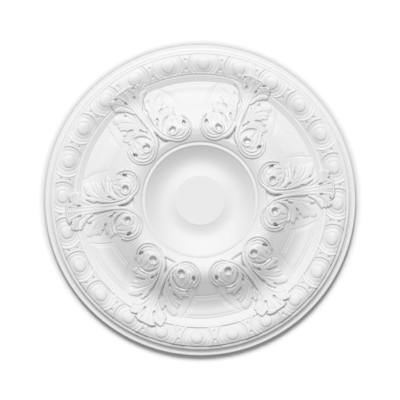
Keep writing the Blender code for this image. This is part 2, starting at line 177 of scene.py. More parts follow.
# The turned mouldings, from the rim inwards: radius and height where each one ends
mouldings = {
    "edgeHeight": 9.4,
    "edgeRound": (1.6, 1.9),
    "lip": (304.8, 11.2),
    "cove": (299.5, 13.8),
    "coveGroove": (298.3, 13.2),
    "rimWall": (297.6, 20.4),
    "rimStep": (296.3, 22.0),
    "fillet": (293.3, 22.8),
    "valley": (291.6, 21.2),
    "borderOuter": 290.6,
    "borderOuterHeight": 30.2,
    "crown": (279.5, 34.6),
    "shoulder": (258.8, 28.6),
    "borderInner": 253.6,
    "borderInnerHeight": 24.6,
    "bandLap": 0.3,
    "bandOuterHeight": 19.2,
    "bandTop": (249.0, 19.5),
    "bandInner": (237.8, 12.9),
    "fieldFlat": (222.0, 13.4),
    "foot": (190.8, 30.6),
    "flank": (160.5, 58.0),
    "crest": (142.5, 66.6),
    "crestEdge": (119.0, 58.6),
    "beadGroove": (114.8, 53.9),
    "beadTop": (111.0, 54.9),
    "bowlEdge": (108.4, 52.6),
    "bowlFloor": (70.0, 30.1),
    "discFoot": (50.8, 34.6),
    "disc": (49.3, 35.6),
    "seatHeight": 8.0,
    "baseHeight": 4.5,
    "backBand": 34.0,
    "backPad": 70.0,
    "backHollow": 3.0,
    "backSlope": 3.0,
    "backBevel": 0.6,
}

# Distance between the points of each run of mouldings
spacing = {"rim": 0.8, "border": 0.9, "field": 2.1, "dish": 1.0}


def straight(t):
    return t, t


def swell(t):
    return 1 - np.cos(t * math.pi / 2), np.sin(t * math.pi / 2)


def hollow(t):
    return np.sin(t * math.pi / 2), 1 - np.cos(t * math.pi / 2)


def crown(t):
    return t, np.sin(t * math.pi / 2)


def scoop(t):
    return t, 1 - np.cos(t * math.pi / 2)


def wave(t):
    return t, (1 - np.cos(t * math.pi)) / 2


def profile(start, runs, step, fewest=3):
    # Radius and height along a chain of mouldings
    points = [start]
    for (endRadius, endHeight), shape in runs:
        radius, height = points[-1]
        reach = math.hypot(endRadius - radius, endHeight - height)
        count = max(fewest, math.ceil(reach / step))
        across, up = shape(np.linspace(0, 1, count + 1)[1:])
        for a, u in zip(across, up):
            points.append((radius + (endRadius - radius) * a, height + (endHeight - height) * u))
    return np.array(points)


m = mouldings
rimRuns = [
    ((drawnRadius - m["edgeRound"][0], m["edgeHeight"] + m["edgeRound"][1]), swell),
    (m["lip"], straight),
    (m["cove"], scoop),
    (m["coveGroove"], straight),
    (m["rimWall"], straight),
    (m["rimStep"], swell),
    (m["fillet"], crown),
    (m["valley"], wave),
]
borderRuns = [
    (m["crown"], crown),
    (m["shoulder"], scoop),
    ((m["borderInner"], m["borderInnerHeight"]), straight),
]
fieldRuns = [
    (m["bandTop"], straight),
    (m["bandInner"], straight),
    (m["fieldFlat"], straight),
    (m["foot"], scoop),
    (m["flank"], straight),
    (m["crest"], crown),
    (m["crestEdge"], scoop),
    (m["beadGroove"], wave),
]
dishRuns = [
    (m["beadTop"], swell),
    (m["bowlEdge"], hollow),
    (m["bowlFloor"], crown),
    (m["discFoot"], scoop),
    (m["disc"], wave),
]
fieldStart = (m["borderInner"] + m["bandLap"], m["bandOuterHeight"])
borderGround = profile((m["borderOuter"], m["borderOuterHeight"]), borderRuns, spacing["border"])
fieldGround = profile(fieldStart, fieldRuns, spacing["field"])
wholeGround = np.vstack([borderGround, fieldGround[1:]])


def groundHeight(radius):
    return np.interp(radius, wholeGround[::-1, 0], wholeGround[::-1, 1])


def meshFrom(name, points, faces):
    mesh = bpy.data.meshes.new(name)
    mesh.from_pydata(points.reshape(-1, 3).tolist(), [], faces.tolist())
    mesh.update()
    return mesh


def pieceFrom(name, mesh):
    piece = bpy.data.objects.new(name, mesh)
    bpy.context.scene.collection.objects.link(piece)
    return piece


def applied(piece):
    # The piece's modifiers turned into a plain mesh
    bpy.context.view_layer.update()
    mesh = bpy.data.meshes.new_from_object(piece.evaluated_get(bpy.context.evaluated_depsgraph_get()))
    piece.modifiers.clear()
    piece.data = mesh
    mesh.name = piece.name
    return piece


def triangleCount(mesh):
    return sum(len(face.vertices) - 2 for face in mesh.polygons)


# Back, rim, dish and disc, with a lower seat under the border and the field
blank = {
    "turnSteps": 360,
    "sharpAngle": 38,
    "valleyDrop": 0.4,
    "seatOuterGap": 1.0,
    "seatInnerGap": 0.6,
    "discEdge": 0.5,
}


def makeBlank():
    hollowOuter = drawnRadius - m["backBand"]
    outline = [
        (0, 0), (m["backPad"], 0), (m["backPad"] + m["backSlope"], m["backHollow"]),
        (hollowOuter - m["backSlope"], m["backHollow"]), (hollowOuter, 0),
        (drawnRadius - m["backBevel"], 0), (drawnRadius, m["backBevel"]),
    ]
    outline += profile((drawnRadius, m["edgeHeight"]), rimRuns, spacing["rim"]).tolist()
    outline.append((m["borderOuter"] - blank["valleyDrop"], m["valley"][1] - blank["valleyDrop"]))
    outline.append((m["borderOuter"] - blank["seatOuterGap"], m["seatHeight"]))
    outline.append((m["beadGroove"][0] + blank["seatInnerGap"], m["seatHeight"]))
    outline += profile(m["beadGroove"], dishRuns, spacing["dish"]).tolist()
    discRadius, discHeight = m["disc"]
    outline += [(radius, discHeight) for radius in (discRadius - blank["discEdge"], discRadius / 2, 0)]
    points = placed(*np.array([(radius, 0, height) for radius, height in outline]).T)
    mesh = bpy.data.meshes.new("outline")
    mesh.from_pydata(points.tolist(), [(i, i + 1) for i in range(len(points) - 1)], [])
    piece = pieceFrom("turnedBlank", mesh)
    turn = piece.modifiers.new("turn", "SCREW")
    turn.steps = turn.render_steps = blank["turnSteps"]
    turn.use_merge_vertices = True
    turn.merge_threshold = weldReach
    applied(piece)
    piece.data.shade_smooth()
    piece.data.set_sharp_from_angle(angle=math.radians(blank["sharpAngle"]))
    piece.data.materials.append(whiteCasting)
    return piece


def aroundTree():
    # Copies of a sector, turned about the rose's axis and welded where they meet
    tree = bpy.data.node_groups.new("around", "GeometryNodeTree")
    for name, kind in (("Geometry", "Geometry"), ("Count", "Int"), ("Turn", "Float"), ("Pitch", "Float"),
                       ("Weld", "Float"), ("Finish", "Material")):
        tree.interface.new_socket(name, in_out="INPUT", socket_type="NodeSocket" + kind)
    tree.interface.new_socket("Geometry", in_out="OUTPUT", socket_type="NodeSocketGeometry")
    given = tree.nodes.new("NodeGroupInput").outputs
    result = tree.nodes.new("NodeGroupOutput")
    spots = addNode(tree, "GeometryNodeMeshLine", None, {"Count": given["Count"], "Offset": (0, 0, 0)})
    number = Maths(tree, addNode(tree, "GeometryNodeInputIndex").outputs[0])
    angle = number * given["Pitch"] + given["Turn"]
    turned = addNode(tree, "ShaderNodeCombineXYZ", None, {"Z": angle})
    copies = addNode(tree, "GeometryNodeInstanceOnPoints", None, {
        "Points": spots.outputs[0], "Instance": given["Geometry"], "Rotation": turned.outputs[0]})
    real = addNode(tree, "GeometryNodeRealizeInstances", None, {"Geometry": copies.outputs[0]})
    welded = addNode(tree, "GeometryNodeMergeByDistance", None, {
        "Geometry": real.outputs[0], "Distance": given["Weld"]})
    finished = addNode(tree, "GeometryNodeSetMaterial", None, {
        "Geometry": welded.outputs[0], "Material": given["Finish"]})
    tree.links.new(finished.outputs[0], result.inputs[0])
    return tree


around = aroundTree()


def repeatAround(name, mesh, count, turn, pitch):
    # Drawn angles run the other way in the scene, because the face looks down
    piece = pieceFrom(name, mesh)
    modifier = piece.modifiers.new("around", "NODES")
    modifier.node_group = around
    values = {"Count": count, "Turn": -math.radians(turn), "Pitch": -math.radians(pitch),
              "Weld": weldReach, "Finish": whiteCasting}
    for item in around.interface.items_tree:
        if item.in_out == "INPUT" and item.name in values:
            modifier[item.identifier] = values[item.name]
    applied(piece)
    bpy.data.meshes.remove(mesh)
    piece.data.shade_smooth()
    return piece


def sectorMesh(name, radii, angles, heights, strip=0.06):
    # One sector of a ring: its carved top, its two walls and a flat underside, open where the next one
    # joins. A narrow strip at either edge keeps the walls from bending the shading of the top.
    outer, inner = radii[0] + strip, radii[-1] - strip
    radii = np.concatenate([[outer], radii, [inner, inner, outer]])
    low = np.full((1, len(angles)), m["baseHeight"])
    heights = np.vstack([heights[:1], heights, heights[-1:], low, low])
    r, t = np.meshgrid(radii, np.radians(angles), indexing="ij")
    points = placed(r * np.cos(t), r * np.sin(t), heights)
    rows, columns = r.shape
    i, j = np.meshgrid(np.arange(rows), np.arange(columns - 1), indexing="ij")
    here, below = i * columns + j, (i + 1) % rows * columns + j
    faces = np.stack([here, here + 1, below + 1, below], -1)
    return meshFrom(name, points, faces.reshape(-1, 4))


# Egg-and-dart border: an egg in a shell of two bands, a thin lip, and half a dart at each end of the sector
border = {
    "count": 24,
    "turn": -1.4,
    "grain": 0.94,
    "middle": 273.2,
    "eggHalfWidth": 13.2,
    "eggHalfLength": 13.4,
    "eggTop": 1.6,
    "eggRise": 5.2,
    "eggCurve": 3,
    "shellStart": 14.6,
    "shellTop": -2.0,
    "shellEnd": 22.4,
    "shellLow": -4.4,
    "shellCurve": 1.3,
    "inwardSquash": 1.1,
    "moatDepth": 2.0,
    "moatInner": 1.4,
    "moatOuter": 0.4,
    "ribMiddle": 25.0,
    "ribHalfWidth": 1.5,
    "ribTop": -2.2,
    "ribFall": 2.2,
    "lipMiddle": 31.6,
    "lipHalfWidth": 2.4,
    "lipTop": -0.2,
    "lipFall": 1.6,
    "webTop": -1.0,
    "webSag": 0.5,
    "webSagRun": (2.0, 5.0),
    "webInner": 1.4,
    "webOuter": 3.2,
    "seamPlace": 2.6,
    "seamHalfWidth": 1.2,
    "seamDepth": 0.9,
    "holes": ((281.2, 2.2, 3.1), (262.4, 2.2, 3.3)),
    "holeDepth": 5.5,
    "holeEdge": 1.2,
    "holeTaper": 1.4,
    "holeTaperLength": 20.0,
}


def carvedBorder(radius, angle):
    # Height over the turned ground
    b = border
    along = np.radians(angle) * b["middle"]
    outward = radius - b["middle"]
    reach = np.hypot(along / b["eggHalfWidth"], outward / b["eggHalfLength"])
    away = np.hypot(along, outward * np.where(outward > 0, 1.0, b["inwardSquash"]))
    egg = b["eggTop"] + b["eggRise"] * (np.sqrt(np.clip(1 - reach ** b["eggCurve"], 0, 1)) - 1)
    slope = np.clip((away - b["shellStart"]) / (b["shellEnd"] - b["shellStart"]), 0, 1)
    shell = b["shellTop"] + (b["shellLow"] - b["shellTop"]) * slope ** b["shellCurve"]
    moat = 1 - smoothStep(away, b["shellStart"] - b["moatInner"], b["shellStart"] + b["moatOuter"])
    shell -= b["moatDepth"] * moat
    rib = b["ribTop"] - b["ribFall"] * ((away - b["ribMiddle"]) / b["ribHalfWidth"]) ** 2
    lip = b["lipTop"] - b["lipFall"] * ((away - b["lipMiddle"]) / b["lipHalfWidth"]) ** 2
    shell = np.maximum(np.maximum(shell, rib), lip)
    carved = np.maximum(egg, shell)

    # Between two shells: a web that joins their lips, with a drilled hole above and below its middle
    fromDart = (180 / b["count"] - np.abs(angle)) * math.pi / 180 * b["middle"]
    web = b["webTop"] - b["webSag"] * smoothStep(np.abs(outward), *b["webSagRun"])
    beyond = smoothStep(away, b["lipMiddle"] + b["webInner"], b["lipMiddle"] + b["webOuter"])
    seam = b["seamDepth"] * groove(away - b["lipMiddle"] - b["seamPlace"], b["seamHalfWidth"])
    carved += (web - carved) * beyond - seam
    for place, halfWidth, halfLength in b["holes"]:
        inwards = (b["middle"] - radius) * (1 if place < b["middle"] else -1)
        inwards = np.clip(inwards / b["holeTaperLength"], -1, 1)
        taper = 1 - b["holeTaper"] * (np.abs(inwards) - 0.5)
        reach = np.hypot(fromDart / (halfWidth * taper), (radius - place) / halfLength)
        carved -= b["holeDepth"] * smoothStep(-reach, -b["holeEdge"], 0)
    return carved


def makeBorder():
    b = border
    half = 180 / b["count"]
    columns = round(math.radians(2 * half) * m["crown"][0] / b["grain"])
    angles = np.linspace(-half, half, columns + 1)
    rows = round((m["borderOuter"] - m["borderInner"]) / b["grain"])
    radii = np.linspace(m["borderOuter"], m["borderInner"], rows + 1)
    r, t = np.meshgrid(radii, angles, indexing="ij")
    unitMesh = sectorMesh("eggUnit", radii, angles, groundHeight(r) + carvedBorder(r, t))
    return repeatAround("eggAndDartBorder", unitMesh, b["count"], b["turn"], 360 / b["count"])


# Palmette, drawn upright on a grid of hundredths of the rose's radius: y from the foot of the scrolls,
# x from its axis. Depths and rises are in millimetres.
palmette = {
    "count": 6,
    "turn": 4.0,
    "grain": 0.62,
    "footRadius": 116.3,
    "part": 3.1,
    "gridAcross": (-26.0, 24.0),
    "gridUp": (-2.0, 52.0),
    "lean": (0.5, -0.0657, 7.5),
    "lifts": ((8, 19, 6.0), (19, 34, -5.4), (36, 48, 1.0)),
    "liftFoot": 2.2,
    "bridge": 17.0,
    "bridgeSamples": 15,
    "soften": 0.35,
    "blend": 2.5,
    "edgeSlope": 5.0,
    "droop": 3.2,
    "droopRun": (12, 20),
    "reach": 16.0,
    "floor": -20.0,
    "volute": (13.5, 9.6),
    "eye": (10.1, 9.9),
    "lineSteps": 5,
    "coverSteps": 4,
    "veinHalfWidth": 0.35,
    "veinStart": (0.05, 0.25),
    "veinEnd": (0.75, 0.95),
    "cutSpread": 1.6,
    "cutStart": (0, 0.15),
    "cutEnd": (0.85, 1),
    "pitEdge": (-1.15, -0.7),
    "joinDepth": 0.8,
    "skirtDepth": 3.0,
    "clearMargin": 0.7,
    "clearEdge": (-1.2, -1.0),
    "deepRoot": -3,
    "deepEdge": (-0.4, 0),
}


def arc(middle, radius, start, end, count):
    turns = np.radians(np.linspace(start, end, count))
    return [(middle[0] + radius * math.cos(t), middle[1] + radius * math.sin(t)) for t in turns]


p = palmette
rimFoot = [(1.2, 24), (1.35, 19), (1.6, 14), (2.4, 9.8), (4.6, 6.3)]
innerFoot = [(3.1, 19), (3.8, 14), (4.4, 11), (5.9, 8.0)]

# Each fold: its spine, then half widths from root to tip, height over the body at root and tip,
# fall of its sides and depth of its vein
folds = {
    "midPlate": (
        [(3.6, 19), (6.2, 25), (10.0, 29.8), (14.6, 32.6)],
        [0.8, 2.5, 3.8, 3.2], -0.8, -0.8, 0.9, 0),
    "lowPlate": (
        [(5.2, 16), (8.0, 20), (12.5, 21.4), (17.5, 20.9)],
        [0.8, 2.0, 2.1, 1.5], -1.2, -1.4, 0.9, 0),
    "topPlate": (
        [(2.8, 33), (5.0, 39), (8.8, 42.6)],
        [1.2, 3.0, 3.2], -1.0, -0.4, 0.8, 0),
    "cavity": (
        [(6.6, 12), (8.0, 16.2), (12.4, 18.4), (17, 18)],
        [0.9, 1.4, 1.4, 0.8], -6.0, -4.5, 0.5, 0),
    "scrollPlate": (
        [(12.6, 10.2), (13.6, 10.2)],
        [7.6, 7.6], -1.1, -2.4, 0.3, 0),
    "stem": (
        [(0, 15.0), (0, 27), (0, 36), (0, 44.0)],
        [1.9, 2.3, 2.8, 3.4], 0.2, 0.5, 1.3, 0),
    "finial": (
        [(0, 45.6), (3.2, 45.8), (5.0, 46.2)],
        [2.5, 2.2, 1.4], -0.4, 0.2, 1.0, 0),
    "rimScroll": (
        rimFoot + arc(p["volute"], 8.8, 212, 392, 13),
        [0.7, 0.75, 1.0, 1.2, 0.8, 0.65, 0.6, 0.6, 0.5, 0.4], 1.2, 1.0, 1.8, 0),
    "innerScroll": (
        innerFoot + arc(p["volute"], 7.1, 200, 384, 12),
        [0.45, 0.7, 0.85, 0.8, 0.75, 0.75, 0.7, 0.4], 0.8, 0.6, 1.6, 0),
    "scrollDome": (
        [(12.0, 10.0), (14.0, 10.1)],
        [5.9, 5.9], 2.6, 2.2, 5.4, 0),
    "bodyEdge": (
        arc((12.9, 10.1), 5.6, 170, 400, 12),
        [0.4, 0.6, 0.7, 0.7, 0.5], 0.4, 0.8, 1.4, 0),
    "bodyLobe1": (
        [(10.4, 12.9), (11.2, 14.6), (12.0, 16.2)],
        [0.9, 1.2, 0.8], 2.4, -1.2, 1.4, 0.2),
    "bodyLobe2": (
        [(14.4, 8.0), (14.9, 11.5), (14.8, 14.0), (14.3, 16.2)],
        [0.9, 1.2, 1.4, 0.9], 3.2, -1.2, 1.4, 0.2),
    "bodyLobe3": (
        [(16.8, 11.0), (17.3, 13.6), (16.8, 15.6)],
        [0.7, 1.1, 0.7], 1.4, -1.2, 1.4, 0.2),
    "eyeRing": (
        arc(p["eye"], 3.0, 60, -240, 14),
        [0.6, 0.9, 1.0, 0.9, 0.6], 3.8, 3.4, 2.0, 0),
    "middleRib": (
        [(0, 27), (0, 47.6)],
        [0.4, 0.7], 0.7, 1.3, 1.1, 0),
    "sideRib": (
        [(1.5, 22), (1.75, 30), (2.2, 38), (3.0, 43), (4.4, 47.2)],
        [0.5, 0.6, 0.7, 0.8, 1.0], 0.6, 1.2, 1.3, 0),
    "midBud": (
        [(3.5, 20.5), (4.7, 26.2), (5.8, 31), (7.4, 35.2)],
        [0.6, 1.0, 1.35, 0.9], 0.2, 1.0, 1.6, 0.3),
    "midLobe": (
        [(4.3, 22.5), (7.2, 28.2), (11, 32.7), (15.3, 34.6)],
        [0.5, 1.4, 2.6, 2.3], 0.8, 1.4, 1.8, 0.4),
    "midKnob": (
        [(4.9, 21.6), (7.7, 26.1), (11.8, 29.5), (15.6, 30.8)],
        [0.4, 0.9, 1.3, 1.1], 0.6, 0.3, 1.3, 0.3),
    "midLowLobe": (
        [(5.4, 20.4), (8.6, 24.9), (12.5, 27.6), (16.0, 28.6)],
        [0.4, 0.9, 1.5, 1.0], 0.6, 0.0, 1.5, 0.4),
    "midEdge": (
        [(6.9, 21.4), (9.8, 24.7), (13.3, 26.1)],
        [0.4, 0.8, 0.7], 0.2, 0.0, 1.6, 0),
    "lowLeaf": (
        [(4.5, 13.5), (5.7, 17.3), (8.0, 20.1), (11.6, 21.9), (15.6, 22.2), (19.3, 21.5)],
        [0.7, 1.0, 1.5, 1.6, 1.2, 0.5], 0.5, -0.9, 1.5, 0.5),
    "lowBud": (
        [(6.3, 19.3), (8.6, 22.1), (11.7, 23.2)],
        [0.5, 0.9, 0.7], 0.6, -0.2, 1.4, 0.3),
    "lowTip": (
        [(10.8, 20.2), (14.6, 19.4), (17.6, 17.9)],
        [0.9, 1.0, 0.4], 0.0, -0.8, 1.4, 0.4),
    "lowEnd": (
        [(9.6, 21.6), (13.0, 23.4), (16.8, 24.4)],
        [0.8, 0.9, 0.4], 0.2, -0.8, 1.4, 0.3),
    "topLobe": (
        [(3.1, 37), (5.4, 41.8), (8.0, 44.4), (10.5, 44.8)],
        [0.5, 1.4, 1.8, 1.3], 0.8, 2.2, 1.8, 0.5),
    "topSide": (
        [(5.2, 39.6), (8.8, 42.2), (11.4, 42.8)],
        [0.4, 0.9, 0.8], 0.4, 1.2, 1.4, 0),
    "topLowLobe": (
        [(3.0, 32.5), (5.5, 37.0), (8.4, 39.4), (11.0, 40.4)],
        [0.5, 1.1, 1.6, 1.2], 0.7, 1.4, 1.6, 0.4),
    "bump1": (
        [(4.9, 43.9), (5.5, 44.5)],
        [0.6, 0.6], 2.0, 2.0, 1.8, 0),
    "bump2": (
        [(7.3, 45.3), (7.9, 45.6)],
        [0.6, 0.6], 2.6, 2.6, 1.8, 0),
    "bump3": (
        [(9.3, 45.9), (10.3, 46.0)],
        [0.6, 0.7], 3.0, 3.0, 2.0, 0),
    "finialCap": (
        [(0, 48.3), (3.0, 48.3), (5.0, 48.0), (6.6, 47.1)],
        [0.75, 0.75, 0.75, 0.7], 1.6, 2.2, 2.0, 0),
}

# Drilled eyes and slits: middle, half sizes along and across, turn of the long side, depth
pits = [
    (0.0, 12.0, 3.6, 0.55, 90, 8.0),
    (10.1, 9.8, 2.3, 1.8, 20, 11.0),
    (18.7, 9.6, 1.7, 1.0, 62, 12.0),
    (6.2, 20.4, 1.5, 0.85, 68, 7.0),
    (11.7, 24.5, 1.8, 0.7, 15, 5.0),
    (4.1, 28.8, 1.6, 0.65, 88, 5.5),
    (9.0, 34.6, 1.5, 0.55, 80, 4.5),
    (3.3, 40.7, 1.3, 0.8, 80, 6.5),
    (6.7, 46.4, 0.8, 0.6, 40, 4.0),
    (2.7, 46.0, 0.9, 0.5, 90, 2.0),
]

# Carved lines: path, half width and depth
cuts = [
    ([(0, 15.5), (0, 28)], 0.35, 0.8),
    ([(2.2, 17), (2.35, 25), (2.9, 32), (3.3, 38)], 0.45, 0.8),
    ([(3.3, 17.5), (4.3, 22), (6.1, 25.5), (8.5, 28.3), (12.2, 31.3), (15.2, 33.0)], 0.5, 1.4),
    ([(5.0, 24.5), (6.6, 28.5), (8.8, 32.5)], 0.4, 1.3),
    ([(3.4, 36), (6.0, 40.4), (9.2, 42.0), (12.0, 42.2)], 0.4, 1.3),
    ([(6.5, 13.5), (7.6, 16.0), (10.0, 18.0), (13.5, 18.9), (17.5, 18.2)], 0.6, 3.0),
    ([(9.6, 20.4), (13.0, 20.7), (17.4, 20.0)], 0.45, 2.2),
    ([(12.6, 12.6), (12.9, 14.8), (13.5, 17.0)], 0.4, 1.6),
    ([(16.0, 9.5), (16.5, 12.5), (15.9, 16.5)], 0.4, 1.6),
    ([(4.9, 8.4), (7.6, 4.0), (12.8, 1.6), (18.6, 3.2), (21.2, 7.0), (21.4, 10.5)], 0.35, 1.2),
]


def smoothLine(points, steps):
    points = np.array(points, float)
    padded = np.vstack([2 * points[0] - points[1], points, 2 * points[-1] - points[-2]])
    line = []
    for before, start, end, after in zip(padded, padded[1:], padded[2:], padded[3:]):
        for t in np.linspace(0, 1, steps, endpoint=False):
            bend = 2 * before - 5 * start + 4 * end - after
            twist = 3 * start - before - 3 * end + after
            line.append(start + ((end - before) * t + bend * t * t + twist * t ** 3) / 2)
    line.append(points[-1])
    return np.array(line)


def nearestOnLine(x, y, line):
    # Distance to a line, and how far along it the nearest point lies, from 0 to 1
    best = np.full(x.shape, np.inf)
    along = np.zeros(x.shape)
    lengths = np.hypot(*np.diff(line, axis=0).T)
    travelled = np.concatenate([[0], np.cumsum(lengths)])
    for (x0, y0), (x1, y1), length, before in zip(line, line[1:], lengths, travelled):
        dx, dy = x1 - x0, y1 - y0
        t = np.clip(((x - x0) * dx + (y - y0) * dy) / (length * length), 0, 1)
        away = np.hypot(x - x0 - t * dx, y - y0 - t * dy)
        closer = away < best
        best = np.where(closer, away, best)
        along = np.where(closer, (before + t * length) / travelled[-1], along)
    return best, along


def widthAlong(along, widths):
    return np.interp(along, np.linspace(0, 1, len(widths)), widths)


def bridgedHeight(radius):
    # The ground evened out over a wide reach, so that the palmette spans its hollows
    offsets = np.linspace(-p["bridge"], p["bridge"], p["bridgeSamples"])
    evened = sum(groundHeight(radius + offset) for offset in offsets) / len(offsets)
    softened = sum(groundHeight(radius + offset * p["soften"]) for offset in offsets) / len(offsets)
    return (evened + softened + np.sqrt((evened - softened) ** 2 + p["blend"] ** 2)) / 2


def palmettePlace(radius, turn):
    # Grid place of a point at an angle from the palmette's middle; x is taken from the leaning axis, on
    # either side
    start, rise, height = p["lean"]
    y = (radius * np.cos(np.radians(turn)) - p["footRadius"]) / p["part"]
    x = -radius * np.sin(np.radians(turn)) / p["part"]
    return np.abs(x - start - rise * (y - height)), y


def coverOf(x, y):
    # How far a point lies outside the nearest fold, in grid parts; below 0 inside
    cover = np.full(x.shape, np.inf)
    for spine, widths, *_ in folds.values():
        away, along = nearestOnLine(x, y, smoothLine(spine, p["coverSteps"]))
        cover = np.minimum(cover, away - widthAlong(along, widths))
    return cover


def pitReach(x, y, pit, margin):
    # 0 in the middle of a pit and 1 at its edge, moved out by the margin
    middleX, middleY, halfLong, halfAcross, turn, depth = pit
    cosTurn, sinTurn = math.cos(math.radians(turn)), math.sin(math.radians(turn))
    lengthwise = (x - middleX) * cosTurn + (y - middleY) * sinTurn
    crosswise = (y - middleY) * cosTurn - (x - middleX) * sinTurn
    return np.hypot(lengthwise / (halfLong + margin), crosswise / (halfAcross + margin))


def hollowedAt(x, y):
    # 1 over the holes and the low folds of the palmette, 0 away from them
    hollowed = np.zeros(x.shape)
    for pit in pits:
        reach = pitReach(x, y, pit, p["clearMargin"])
        hollowed = np.maximum(hollowed, smoothStep(-reach, *p["clearEdge"]))
    for spine, widths, root, *_ in folds.values():
        if root < p["deepRoot"]:
            away, along = nearestOnLine(x, y, smoothLine(spine, p["coverSteps"]))
            hollowed = np.maximum(hollowed, smoothStep(widthAlong(along, widths) - away, *p["deepEdge"]))
    return hollowed


def carvedPalmette(x, y, radius):
    # Height of the palmette's surface over the ceiling
    lift = p["liftFoot"] + sum(rise * smoothStep(y, low, high) for low, high, rise in p["lifts"])
    droop = p["droop"] * (x / p["reach"]) ** 2 * smoothStep(y, *p["droopRun"])
    body = bridgedHeight(radius) + lift - droop
    surface = np.full(x.shape, p["floor"])
    for spine, widths, root, tip, fall, vein in folds.values():
        away, along = nearestOnLine(x, y, smoothLine(spine, p["lineSteps"]))
        width = widthAlong(along, widths)
        crest = body + root + (tip - root) * along
        side = fall * np.minimum(away / width, 1) ** 2
        edge = p["edgeSlope"] * np.maximum(away - width, 0) * p["part"]
        cut = vein * groove(away, p["veinHalfWidth"]) * smoothStep(along, *p["veinStart"])
        cut = cut * (1 - smoothStep(along, *p["veinEnd"]))
        surface = np.maximum(surface, crest - side - edge - cut)
    for path, halfWidth, depth in cuts:
        away, along = nearestOnLine(x, y, smoothLine(path, p["lineSteps"]))
        fade = smoothStep(along, *p["cutStart"]) * (1 - smoothStep(along, *p["cutEnd"]))
        surface = surface - depth * groove(away, halfWidth * p["cutSpread"]) * fade
    for pit in pits:
        surface = surface - pit[-1] * smoothStep(-pitReach(x, y, pit, 0), *p["pitEdge"])
    return surface


# Field with its framed panels and ridge, in sectors centred on a panel
field = {
    "count": 6,
    "turn": 34.0,
    "angleRuns": ((0, 7.2, 21), (7.2, 17.4, 36), (17.4, 30, 19)),
    "lineRows": (-2.2, -1.1, -0.4, 0.4, 1.1, 2.2),
    "panelOuter": 236.6,
    "panelInner": 191.0,
    "outerHalfAngle": 14.6,
    "innerHalfAngle": 8.0,
    "panelFlare": 1.25,
    "panelSkew": 1.9,
    "frameWidth": 7.2,
    "frameRise": 1.0,
    "edgeWidth": 1.7,
    "frameLine": 2.2,
    "arcLine": 0.4,
    "arcLineRun": (-1, 4),
    "reedHalfAngle": 7.6,
    "reedEdge": 1.2,
    "reedPitch": 1.9,
    "reedStart": 137.0,
    "reedStartFade": 6.0,
    "reedEnd": 176.0,
    "reedEndFade": 10.0,
    "reedDepth": 0.9,
    "slitDepth": 7.0,
    "slitFoot": (4.8, 5.6),
    "slitHead": (15, 18),
    "slitSide": (3.5, 5.5),
    "sink": 12.0,
    "sinkMargin": 0.3,
    "sinkEdge": 0.5,
    "leastCover": 1.0,
}


def carvedField(radius, angle):
    # Height over the turned ground
    f = field
    across = (radius - f["panelInner"]) / (f["panelOuter"] - f["panelInner"])
    across = np.clip(across, 0, 1)
    flare = across ** f["panelFlare"]
    halfAngle = f["innerHalfAngle"] + (f["outerHalfAngle"] - f["innerHalfAngle"]) * flare
    sides = np.radians(halfAngle - np.abs(angle - f["panelSkew"] * across)) * radius
    arcs = np.minimum(radius - f["panelInner"], f["panelOuter"] - radius)
    inside = np.minimum(arcs, sides)
    strength = f["arcLine"] + (1 - f["arcLine"]) * smoothStep(arcs - sides, *f["arcLineRun"])
    panelEdges = f["frameWidth"] - f["edgeWidth"], f["frameWidth"] + f["edgeWidth"]
    carved = f["frameRise"] * smoothStep(inside, *panelEdges)
    carved -= f["frameLine"] * strength * groove(inside, f["edgeWidth"])
    reeds = smoothStep(f["reedHalfAngle"] - np.abs(angle), 0, f["reedEdge"])
    reeds = reeds * smoothStep(radius, f["reedStart"] - f["reedStartFade"], f["reedStart"])
    reeds = reeds * (1 - smoothStep(radius, f["reedEnd"] - f["reedEndFade"], f["reedEnd"]))
    carved -= f["reedDepth"] * reeds * (0.5 + 0.5 * np.cos(angle / f["reedPitch"] * 2 * math.pi))

    # Between the scrolls it falls into the slit; under the palmettes' hollows and holes it is sunk out
    # of their way
    half = 180 / f["count"]
    for side in (-half, half):
        x, y = palmettePlace(radius, angle - side)
        slit = f["slitDepth"] * smoothStep(y, *f["slitFoot"]) * (1 - smoothStep(y, *f["slitHead"]))
        carved -= slit * (1 - smoothStep(x, *f["slitSide"]))
        covered = smoothStep(-coverOf(x, y), f["sinkMargin"], f["sinkMargin"] + f["sinkEdge"])
        carved -= f["sink"] * covered * hollowedAt(x, y)
    return carved


def makeField():
    # Angles lie closest over the sides of the frames, and radii beside their arcs
    f = field
    half = np.concatenate([[0.0]] + [np.linspace(*run)[1:] for run in f["angleRuns"]])
    angles = np.concatenate([-half[:0:-1], half])
    innerArc, outerArc = f["panelInner"], f["panelOuter"]
    radii = fieldGround[:, 0]
    for line in (outerArc, outerArc - f["frameWidth"], innerArc + f["frameWidth"], innerArc):
        radii = np.append(radii, line + np.array(f["lineRows"]))
    radii = np.unique(np.round(radii, 2))[::-1]
    r, t = np.meshgrid(radii, angles, indexing="ij")
    heights = np.maximum(groundHeight(r) + carvedField(r, t), m["baseHeight"] + f["leastCover"])
    unitMesh = sectorMesh("fieldUnit", radii, angles, heights)
    return repeatAround("panelField", unitMesh, f["count"], f["turn"], 360 / f["count"])


def closeBelow(mesh):
    # Walls from the open edge down to a flat underside
    shape = bmesh.new()
    shape.from_mesh(mesh)
    rim = [edge for edge in shape.edges if edge.is_boundary]
    grown = bmesh.ops.extrude_edge_only(shape, edges=rim)["geom"]
    for thing in grown:
        if isinstance(thing, bmesh.types.BMVert):
            thing.co.z = -m["baseHeight"] * unit
    foot = [thing for thing in grown if isinstance(thing, bmesh.types.BMEdge)]
    bmesh.ops.triangle_fill(shape, use_beauty=True, edges=foot, normal=(0, 0, 1))
    bmesh.ops.recalc_face_normals(shape, faces=shape.faces)
    shape.to_mesh(mesh)
    shape.free()


